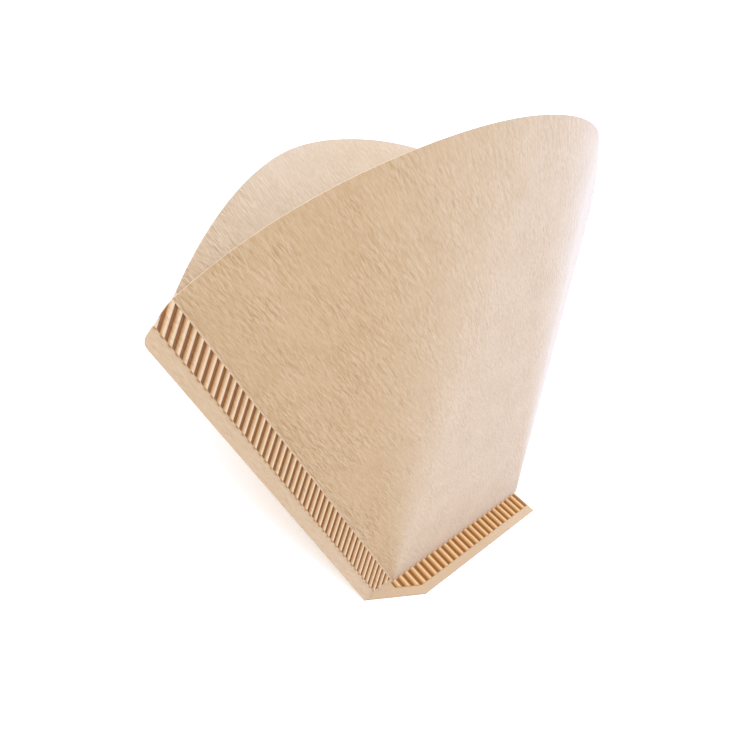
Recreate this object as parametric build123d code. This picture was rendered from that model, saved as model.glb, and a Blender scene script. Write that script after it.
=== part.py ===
# Paper coffee filter: one sheet of filter paper, folded once and crimped along two seams.
# It is shaped with its seams in the XY plane: the bottom seam runs along +X from its inner corner, the mouth
# faces +Y and the front panel opens towards +Z. Last of all it is laid down on its back panel.
import math
import os

from build123d import *

# Paper: thickness of one layer
ply = 0.25

# Seams: the bottom seam's inner length, and the angles it makes with the side seam and with the fold
bottom_seam = 49.0
seam_angle = 114.0
fold_angle = 116.0

# Crown: the arc that the mouth is cut to, with its centre above the bottom seam and beside its middle
crown_radius = 95.8
crown_shift = -2.35
crown_rise = 5.7

# Panels: how far each opens from the seam plane
front_open_angle = 14.0
back_open_angle = 19.3

# Flat middles at the top of the crown: the middle's distance from the middle of the bottom seam, and the width
front_flat_shift = 5.6
front_flat_width = 3.8
back_flat_shift = 19.9
back_flat_width = 16.8

# Conical bends beside the flat middles: the angle from either end of a bend to the ridge that it rounds off
front_seam_bend_angle = 10.6
front_fold_bend_angle = 7.1
back_seam_bend_angle = 8.6
back_fold_bend_angle = 9.8

# Crimped bands outside the seams, two layers thick, the side one pressed a little way into the pouch as well
side_band = 8.3
side_corner_round = 2.0
bottom_band = 7.5
bottom_band_short = 1.0
corner_cut = 4.4
bottom_fold_angle = 67.0
press = 0.8

# Crimp ribs: a wave pressed into both bands between plain margins, slanted on the side band
rib_spacing = 2.0
rib_flat = 0.4
rib_flank = 0.2
rib_shoulder = 0.12
rib_height = 0.3
rib_gap = 0.4
rib_crease_gap = 1.0
side_margin = 3.0
bottom_margin = 2.2
rib_slant_angle = 34.0

# Corners and directions in the seam plane, and how far the panels are drawn past the crown before they are cut
along = Vector(1, 0)
seam_corner = Vector(0, 0)
fold_corner = Vector(bottom_seam, 0)
up_seam = along.rotate(Axis.Z, seam_angle)
off_seam = up_seam.rotate(Axis.Z, 90)
up_fold = -along.rotate(Axis.Z, -fold_angle)
crease_start = Vector(side_band / off_seam.X, 0)
crown_centre = Vector(bottom_seam / 2 + crown_shift, crown_rise)
crown_top = crown_rise + crown_radius
past_crown = 1.02


def slab(corners, outward):
    """Flat piece of paper one layer thick, its inner face between these corners."""
    return extrude(make_face(Polyline(*corners, close=True)), ply, dir=outward)


def bend(corner, first, first_out, last, last_out, reach):
    """Conical piece of paper between two rulings from a corner, tangent to the flat pieces at both."""
    axis = first.cross(first_out).cross(last.cross(last_out)).normalized()
    start = first - axis * axis.dot(first)
    end = last - axis * axis.dot(last)
    tip = corner + first * reach
    profile = make_face(Polyline(corner, tip, tip + first_out * ply, corner + first_out * ply, close=True))
    return revolve(profile, Axis(corner, start.cross(end)), start.get_angle(end))


def panel_side(corner, edge, flat_top, outward, half_bend):
    """Paper from a panel's flat middle to the seam or the fold: a bend and a flat wall, from one corner."""
    reach = (flat_top - corner).length
    first = (flat_top - corner).normalized()
    ridge = first.rotate(Axis(corner, outward * outward.dot(first.cross(edge))), half_bend)
    normal = ridge.cross(edge)
    last = ridge.rotate(Axis(corner, normal), half_bend)
    wall_out = (normal * normal.dot(outward)).normalized()
    wall = slab([corner, corner + last * reach, corner + edge * reach], wall_out)
    return wall + bend(corner, first, outward, last, wall_out, reach)


def panel(side, opening, flat_shift, flat_width, seam_bend, fold_bend):
    """One panel from the side seam to the fold. side is 1 in front, -1 behind."""
    outward = Vector(0, 0, side).rotate(Axis.X, side * opening)
    rise = side * crown_top * math.tan(math.radians(opening))
    middle_top = Vector(bottom_seam / 2 + flat_shift, crown_top, rise)
    seam_top = seam_corner + (middle_top - along * (flat_width / 2) - seam_corner) * past_crown
    fold_top = fold_corner + (middle_top + along * (flat_width / 2) - fold_corner) * past_crown
    seam_side = panel_side(seam_corner, up_seam, seam_top, outward, seam_bend)
    fold_side = panel_side(fold_corner, up_fold, fold_top, outward, fold_bend)
    return slab([seam_corner, fold_corner, fold_top, seam_top], outward) + seam_side + fold_side


def rod(start, direction, length):
    """Rounded outside of the sheet where it is folded along a line."""
    from_start = (Align.CENTER, Align.CENTER, Align.MIN)
    return Plane(origin=start, z_dir=direction) * Cylinder(ply, length, align=from_start)


def crown_disc():
    """Area inside the crown arc, in the seam plane."""
    return Pos(crown_centre) * Circle(crown_radius)


def panels():
    """Front and back panels as one open pouch, joined along the fold and cut to the crown."""
    front_form = front_open_angle, front_flat_shift, front_flat_width, front_seam_bend_angle, front_fold_bend_angle
    back_form = back_open_angle, back_flat_shift, back_flat_width, back_seam_bend_angle, back_fold_bend_angle
    fold = rod(fold_corner, up_fold, crown_top) + Pos(fold_corner) * Sphere(ply)
    sheet = panel(1, *front_form) + panel(-1, *back_form) + fold
    return sheet & extrude(crown_disc(), crown_radius, both=True)


def wave(count):
    """Section of the crimped double layer along a seam, with a valley centred on every rib spacing."""
    half = rib_spacing / 4 - rib_flank / 2
    upper = []
    for step in range(2 * count):
        middle = step * rib_spacing / 2
        side = 1 if step % 2 else -1
        upper.append((middle - half, side * rib_shoulder))
        upper.append((middle - rib_flat / 2, side * rib_height))
        upper.append((middle + rib_flat / 2, side * rib_height))
        upper.append((middle + half, side * rib_shoulder))
    lower = [(distance, height - 2 * ply) for distance, height in reversed(upper)]
    return Pos(0, ply) * make_face(Polyline(*upper, *lower, close=True))


def strip(seam_dir, out_dir, inner, outer, first, last):
    """Flat strip beside a seam, between two distances from it and two distances along it."""
    corners = [(first, inner), (first, outer), (last, outer), (last, inner)]
    return make_face(Polyline(*[seam_dir * far + out_dir * out for far, out in corners], close=True))


def crimped(outline, rib_area, seam_dir, out_dir, rib_run, seam_length):
    """A flat double band with ribs pressed into its rib area, the first of them one rib before the corner."""
    plain = extrude(outline - rib_area, ply, both=True)
    start = out_dir * rib_gap - seam_dir * rib_spacing
    count = 2 + math.ceil(seam_length / rib_spacing)
    section = Plane(origin=start, x_dir=seam_dir, z_dir=-out_dir) * wave(count)
    ribs = extrude(section, rib_run.length, dir=rib_run)
    return plain + (ribs & extrude(rib_area, rib_height + 2 * ply, both=True))


def side_crimp():
    """Band outside the side seam, cut to the crown above and ending at the bottom crease."""
    reach = 2 * crown_radius
    rib_end = side_band - side_margin
    above_crease = Pos(0, reach) * Rectangle(2 * reach, 2 * reach)
    outline = strip(up_seam, off_seam, -press, side_band, -reach, reach) & above_crease & crown_disc()
    outer_corner = outline.vertices().sort_by(lambda vertex: Vector(vertex).dot(up_seam + off_seam))[-1]
    outline = fillet(outer_corner, side_corner_round)
    ribbed = strip(up_seam, off_seam, rib_gap, rib_end, -reach, reach) & crown_disc()
    rib_area = ribbed & (Pos(0, rib_crease_gap) * above_crease)
    sideways = (rib_end - rib_gap) * math.tan(math.radians(rib_slant_angle))
    rib_run = off_seam * (rib_end - rib_gap) - up_seam * sideways
    return crimped(outline, rib_area, up_seam, off_seam, rib_run, crown_top + sideways)


def bottom_crimp():
    """Band outside the bottom seam with its cut corner, creased along the seam and folded to the front."""
    out = Vector(0, -1)
    end = bottom_seam - bottom_band_short
    rib_end = bottom_band - bottom_margin
    cut_end = Vector(corner_cut, -bottom_band)
    outline = make_face(Polyline(crease_start, cut_end, (end, -bottom_band), (end, 0), close=True))
    ribbed = strip(along, out, rib_gap, rib_end, -rib_spacing / 2, end - rib_gap)
    inwards = (cut_end - crease_start).normalized().rotate(Axis.Z, 90)
    rib_area = ribbed & (Pos(inwards * bottom_margin) * outline)
    band = crimped(outline, rib_area, along, out, out * (rib_end - rib_gap), end)
    return Rot(X=-bottom_fold_angle) * band + rod(crease_start, along, bottom_seam - crease_start.X)


def paper_filter():
    """The whole filter, laid on the flat of its back panel, centred over the origin."""
    sheet = panels() + side_crimp() + bottom_crimp()
    laid = Pos(Z=ply) * Rot(X=back_open_angle) * sheet
    middle = laid.bounding_box().center()
    return Pos(-middle.X, -middle.Y) * laid


os.makedirs("parts", exist_ok=True)
export_step(paper_filter(), "parts/paper_filter.step")
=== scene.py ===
import math

import bpy
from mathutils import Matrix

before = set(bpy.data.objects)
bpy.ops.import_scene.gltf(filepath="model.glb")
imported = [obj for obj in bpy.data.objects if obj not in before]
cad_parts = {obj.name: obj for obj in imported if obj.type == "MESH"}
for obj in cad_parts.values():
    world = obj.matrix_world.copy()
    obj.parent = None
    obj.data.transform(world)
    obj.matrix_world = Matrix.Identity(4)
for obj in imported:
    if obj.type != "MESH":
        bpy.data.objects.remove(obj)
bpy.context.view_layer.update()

# The filter: one sheet of unbleached filter paper, folded once at the right and open at the top.
# Its two layers are held together along the side and the bottom by ribs crimped in under pressure.
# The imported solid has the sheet's true shape, so it stays and gets its paper here.
filter_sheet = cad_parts["paper_filter"]

# Where the sheet was drawn: the seams' inner corner in metres, the tilt of the seam plane, the side
# seam's turn in that plane and the bottom band's fold out of it
seam_corner = (-0.022054, -0.051038, 0.00025)
seam_plane_tilt = math.radians(19.3)
side_seam_turn = math.radians(114)
bottom_band_fold = math.radians(-67)
millimetre = 0.001


def linear(hex_colour):
    """An sRGB hex value such as "D9BD97" as a linear colour."""
    channels = [int(hex_colour[i:i + 2], 16) / 255 for i in (0, 2, 4)]
    return [c / 12.92 if c <= 0.04045 else ((c + 0.055) / 1.055) ** 2.4 for c in channels] + [1]


def add(kind, inputs=None, **settings):
    """A node of the paper with its settings; an input is a value or the socket that feeds it."""
    node = paper.node_tree.nodes.new(kind)
    for name, value in settings.items():
        setattr(node, name, value)
    for name, value in (inputs or {}).items():
        if isinstance(value, bpy.types.NodeSocket):
            paper.node_tree.links.new(value, node.inputs[name])
        else:
            node.inputs[name].default_value = value
    return node


# Unbleached creped filter paper: brown pulp with no filler, dried on a cylinder and scraped off it
# in fine creases. It is matt and slightly fuzzy, clouded by its fibres, and turns dark where the
# crimp has pressed it thin. Painted shade deepens the rib valleys, and painted highlights pale the
# rib crests and the crests of the crepe. All its sizes are in millimetres.
paper = bpy.data.materials.new("unbleached_creped_filter_paper")
paper.use_nodes = True
paper.node_tree.nodes.clear()
place = add("ShaderNodeTexCoord").outputs["Object"]
in_seam_plane = add(
    "ShaderNodeMapping",
    {
        "Vector": place,
        "Location": seam_corner,
        "Rotation": (seam_plane_tilt, 0, 0),
        "Scale": (millimetre,) * 3,
    },
    vector_type="TEXTURE",
).outputs[0]
on_side_band = add(
    "ShaderNodeMapping",
    {"Vector": in_seam_plane, "Rotation": (0, 0, side_seam_turn)},
    vector_type="TEXTURE",
).outputs[0]
on_bottom_band = add(
    "ShaderNodeMapping",
    {"Vector": in_seam_plane, "Rotation": (bottom_band_fold, 0, 0)},
    vector_type="TEXTURE",
).outputs[0]
seam_plane_xyz = add("ShaderNodeSeparateXYZ", {"Vector": in_seam_plane})
side_xyz = add("ShaderNodeSeparateXYZ", {"Vector": on_side_band})
bottom_xyz = add("ShaderNodeSeparateXYZ", {"Vector": on_bottom_band})

# Ribs of both bands: where they start and end beside the seam, the softness of every edge, and the
# height of a crest over the middle of the band
rib_start = 0.4
rib_end = 5.3
soft_edge = 0.4
rib_crest = 0.55


def between(socket, low, high):
    """1 where a distance lies between two values, 0 outside, with a short soft edge."""
    rise, fall = [
        add(
            "ShaderNodeMapRange",
            {"Value": socket, "From Min": limit - soft_edge, "From Max": limit + soft_edge},
            interpolation_type="SMOOTHSTEP",
        ).outputs[0]
        for limit in (low, high)
    ]
    return add("ShaderNodeMath", {0: rise, 1: fall}, operation="SUBTRACT").outputs[0]


# Side band: its ribs run from the mouth down to a gap above the bottom crease
crease_gap = 0.9
beside_side_seam = between(side_xyz.outputs["Y"], rib_start, rib_end)
above_crease = add(
    "ShaderNodeMath", {0: seam_plane_xyz.outputs["Y"], 1: crease_gap}, operation="GREATER_THAN"
).outputs[0]
side_ribs = add(
    "ShaderNodeMath", {0: beside_side_seam, 1: above_crease}, operation="MULTIPLY"
).outputs[0]
side_height = add("ShaderNodeMath", {0: side_xyz.outputs["Z"]}, operation="ABSOLUTE").outputs[0]

# Bottom band: its ribs lie between the two ends of the seam, in the band's own plane, and keep a
# plain margin inside the cut corner
seam_start = -1
seam_end = 47.6
cut_start = -9.09
cut_turn = math.radians(-29.1)
cut_margin = 2.2
outwards = add(
    "ShaderNodeMath", {0: bottom_xyz.outputs["Y"], 1: -1}, operation="MULTIPLY"
).outputs[0]
in_band_plane = between(bottom_xyz.outputs["Z"], -2 * rib_crest, 2 * rib_crest)
from_cut = add(
    "ShaderNodeMapping",
    {"Vector": on_bottom_band, "Location": (cut_start, 0, 0), "Rotation": (0, 0, cut_turn)},
    vector_type="TEXTURE",
).outputs[0]
cut_xyz = add("ShaderNodeSeparateXYZ", {"Vector": from_cut})
inside_cut = between(cut_xyz.outputs["Y"], cut_margin, seam_end)
along_bottom = between(bottom_xyz.outputs["X"], seam_start, seam_end)
bottom_ribs = between(outwards, rib_start, rib_end)
for limit in (in_band_plane, inside_cut, along_bottom):
    bottom_ribs = add(
        "ShaderNodeMath", {0: bottom_ribs, 1: limit}, operation="MULTIPLY"
    ).outputs[0]
bottom_height = add("ShaderNodeMath", {0: bottom_xyz.outputs["Z"]}, operation="ABSOLUTE").outputs[0]

# Both bands are pressed denser over their whole width, from the seam to past their outer edge
band_start = 0.2
past_band = 20
side_pressed = between(side_xyz.outputs["Y"], band_start, past_band)
bottom_pressed = add(
    "ShaderNodeMath",
    {0: between(outwards, band_start, past_band), 1: in_band_plane},
    operation="MULTIPLY",
).outputs[0]
pressed = add(
    "ShaderNodeMath", {0: side_pressed, 1: bottom_pressed}, operation="MAXIMUM"
).outputs[0]

# Rib colours change at these shares of a crest's height
valley_share = 0.1
paper_share = 0.36
crest_share = 0.8


def rib_colours(height, valley, paper_tone, crest):
    """Brown in the valleys, partly the pressed paper's own tone and partly painted shade, the
    paper's own tone part of the way up, and a crest paled by painted highlight.
    """
    share = add("ShaderNodeMapRange", {"Value": height, "From Max": rib_crest}).outputs[0]
    ramp = add("ShaderNodeValToRGB", {0: share})
    ramp.color_ramp.elements[0].position = valley_share
    ramp.color_ramp.elements[0].color = linear(valley)
    ramp.color_ramp.elements[1].position = crest_share
    ramp.color_ramp.elements[1].color = linear(crest)
    middle = ramp.color_ramp.elements.new(paper_share)
    middle.color = linear(paper_tone)
    return ramp.outputs[0]


# Valley colours are painted shade over the pressed paper's brown; crest colours are painted
# highlights.
side_rib_colour = rib_colours(side_height, "875528", "B68654", "CDA471")
bottom_rib_colour = rib_colours(bottom_height, "8C561E", "B67E46", "D09C5E")

# Crepe: short creases about 2 mm long and 0.8 mm apart, turned 7 degrees from the side seam.
# They come in patches about 7 mm across with smoother paper between, are shallower in the bands,
# and are drawn out flatter towards the fold, by the angle around the seams' corner.
crepe_turn = math.radians(121)
crease_length = 2.2
crease_spacing = 0.8
patch_size = 7
noise_middle = 0.5
noise_spread = 0.14
smooth_share = 0.35
patch_share = 1.4
flat_from = math.radians(70)
creased_from = math.radians(112)
flat_share = 0.3
panel_depth = 0.38
band_depth = 0.2
along_crepe = add(
    "ShaderNodeMapping",
    {"Vector": in_seam_plane, "Rotation": (0, 0, crepe_turn)},
    vector_type="TEXTURE",
).outputs[0]
crepe_place = add(
    "ShaderNodeMapping",
    {"Vector": along_crepe, "Scale": (1 / crease_length, 1 / crease_spacing, 1 / crease_spacing)},
).outputs[0]
crepe = add(
    "ShaderNodeTexNoise", {"Vector": crepe_place, "Scale": 1, "Detail": 2, "Distortion": 0.25}
).outputs[0]
patches = add(
    "ShaderNodeTexNoise", {"Vector": in_seam_plane, "Scale": 1 / patch_size, "Detail": 1}
).outputs[0]
patch_depth = add(
    "ShaderNodeMapRange",
    {
        "Value": patches,
        "From Min": noise_middle - noise_spread,
        "From Max": noise_middle + noise_spread,
        "To Min": smooth_share,
        "To Max": patch_share,
    },
).outputs[0]
around_corner = add(
    "ShaderNodeMath",
    {0: seam_plane_xyz.outputs["Y"], 1: seam_plane_xyz.outputs["X"]},
    operation="ARCTAN2",
).outputs[0]
near_seam = add(
    "ShaderNodeMapRange",
    {"Value": around_corner, "From Min": flat_from, "From Max": creased_from, "To Min": flat_share},
    interpolation_type="SMOOTHSTEP",
).outputs[0]
beside_bands = add(
    "ShaderNodeMapRange", {"Value": pressed, "To Min": panel_depth, "To Max": band_depth}
).outputs[0]
crepe_height = add(
    "ShaderNodeMath", {0: crepe, 1: noise_middle}, operation="SUBTRACT"
).outputs[0]
for depth in (near_seam, beside_bands, patch_depth):
    crepe_height = add(
        "ShaderNodeMath", {0: crepe_height, 1: depth}, operation="MULTIPLY"
    ).outputs[0]

# Pulp: clouds of denser fibre about 5 mm across, and fibres about 1.2 mm long and 0.3 mm across
# that lie along the crepe. Painted highlight makes the creases paler on their crests and painted
# shade makes them darker between, and the bands are darker.
cloud_size = 5
cloud_share = 0.5
fibre_length = 1.2
fibre_width = 0.3
painted_crepe_shading = 2
dark_tone = 0.25
pale_tone = 1.25
pressed_share = 0.45
clouds = add(
    "ShaderNodeTexNoise", {"Vector": in_seam_plane, "Scale": 1 / cloud_size, "Detail": 3}
).outputs[0]
fibre_place = add(
    "ShaderNodeMapping",
    {"Vector": along_crepe, "Scale": (1 / fibre_length, 1 / fibre_width, 1 / fibre_width)},
).outputs[0]
fibres = add("ShaderNodeTexNoise", {"Vector": fibre_place, "Scale": 1, "Detail": 2}).outputs[0]
clouded = add(
    "ShaderNodeMath", {0: clouds, 1: cloud_share, 2: fibres}, operation="MULTIPLY_ADD"
).outputs[0]
# The crepe's height is painted into the tone: painted highlight on its crests, painted shade in its
# troughs.
tone = add(
    "ShaderNodeMath", {0: crepe_height, 1: painted_crepe_shading, 2: clouded}, operation="MULTIPLY_ADD"
).outputs[0]
paleness = add(
    "ShaderNodeMapRange", {"Value": tone, "From Min": dark_tone, "From Max": pale_tone}
).outputs[0]
pulp = add("ShaderNodeValToRGB", {0: paleness})
pulp.color_ramp.elements[0].color = linear("B18B5A")
pulp.color_ramp.elements[1].color = linear("C7A375")
paper_colour = pulp.outputs[0]
part_pressed = add(
    "ShaderNodeMath", {0: pressed, 1: pressed_share}, operation="MULTIPLY"
).outputs[0]

# Each pressed area is laid over the pulp in turn. A Mix node's colours are its sockets 6 and 7, and
# its mixed colour is output 2.
for area, area_colour in (
    (part_pressed, linear("B18654")),
    (side_ribs, side_rib_colour),
    (bottom_ribs, bottom_rib_colour),
):
    paper_colour = add(
        "ShaderNodeMix", {0: area, 6: paper_colour, 7: area_colour}, data_type="RGBA"
    ).outputs[2]

# Relief: the creases, and the fibres that stand up between them
fibre_relief = 0.02
relief = add(
    "ShaderNodeMath", {0: fibres, 1: fibre_relief, 2: crepe_height}, operation="MULTIPLY_ADD"
).outputs[0]
bump = add("ShaderNodeBump", {"Height": relief, "Strength": 1, "Distance": millimetre}).outputs[0]
surface = add(
    "ShaderNodeBsdfPrincipled",
    {
        "Base Color": paper_colour,
        "Roughness": 0.9,
        "Specular IOR Level": 0.25,
        "Sheen Weight": 0.05,
        "Sheen Roughness": 0.5,
        "Normal": bump,
    },
)
add("ShaderNodeOutputMaterial", {"Surface": surface.outputs[0]})
filter_sheet.data.materials.clear()
filter_sheet.data.materials.append(paper)

# The floor: a plain white table top, far larger than the picture and just under the sheet.
# It is matt, and glows a little so that it stays white all over.
floor_size = 4
floor_level = -0.0001
floor_glow = 0.3
bpy.ops.object.select_all(action="DESELECT")
bpy.ops.mesh.primitive_plane_add(size=floor_size, location=(0, 0, floor_level))
floor = bpy.context.object
floor.name = "floor"
white = bpy.data.materials.new("matt_white_table")
white.use_nodes = True
table_top = white.node_tree.nodes["Principled BSDF"].inputs
table_top["Base Color"].default_value = linear("F6F6F6")
table_top["Emission Color"].default_value = linear("FFFFFF")
table_top["Emission Strength"].default_value = floor_glow
table_top["Roughness"].default_value = 1
floor.data.materials.append(white)

# The light: two large cool lamps like windows, one low on the right and one beyond the mouth that
# shines into it. A white surround fills the shaded side and keeps the shadows on the table faint.
lamp_distance = 0.8
lamp_size = 0.9
for lamp_name, lamp_direction, lamp_colour, lamp_power in (
    ("right_lamp", (0.8, -0.25, 0.55), "75A5FF", 22.3),
    ("mouth_lamp", (0.25, 0.73, 0.63), "9CC0FF", 20),
):
    lamp_place = [lamp_distance * part for part in lamp_direction]
    bpy.ops.object.light_add(type="AREA", location=lamp_place)
    lamp = bpy.context.object
    lamp.name = lamp_name
    lamp.data.size = lamp_size
    lamp.data.color = linear(lamp_colour)[:3]
    lamp.data.energy = lamp_power
    lamp.rotation_euler = lamp.location.to_track_quat("Z", "Y").to_euler()
surround_strength = 1.05
surround = bpy.data.worlds.new("white_surround")
surround.use_nodes = True
surround_light = surround.node_tree.nodes["Background"].inputs
surround_light["Color"].default_value = linear("FFFDF8")
surround_light["Strength"].default_value = surround_strength
bpy.context.scene.world = surround
bpy.context.scene.view_settings.view_transform = "Standard"

# The camera: the photograph's own place, found from the seams, the fold and the rims.
# It looks down on the sheet. Its turn is in degrees, its lens and sensor in millimetres.
camera_place = (-0.09038, 0.01584, 0.11854)
camera_turn = (6.952, -34.299, -22.808)
camera_lens = 28.59
camera_sensor = 36
camera_angles = [math.radians(angle) for angle in camera_turn]
bpy.ops.object.camera_add(location=camera_place, rotation=camera_angles)
camera = bpy.context.object
camera.name = "camera"
camera.data.sensor_width = camera_sensor
camera.data.lens = camera_lens
camera.data.clip_start = millimetre
bpy.context.scene.camera = camera
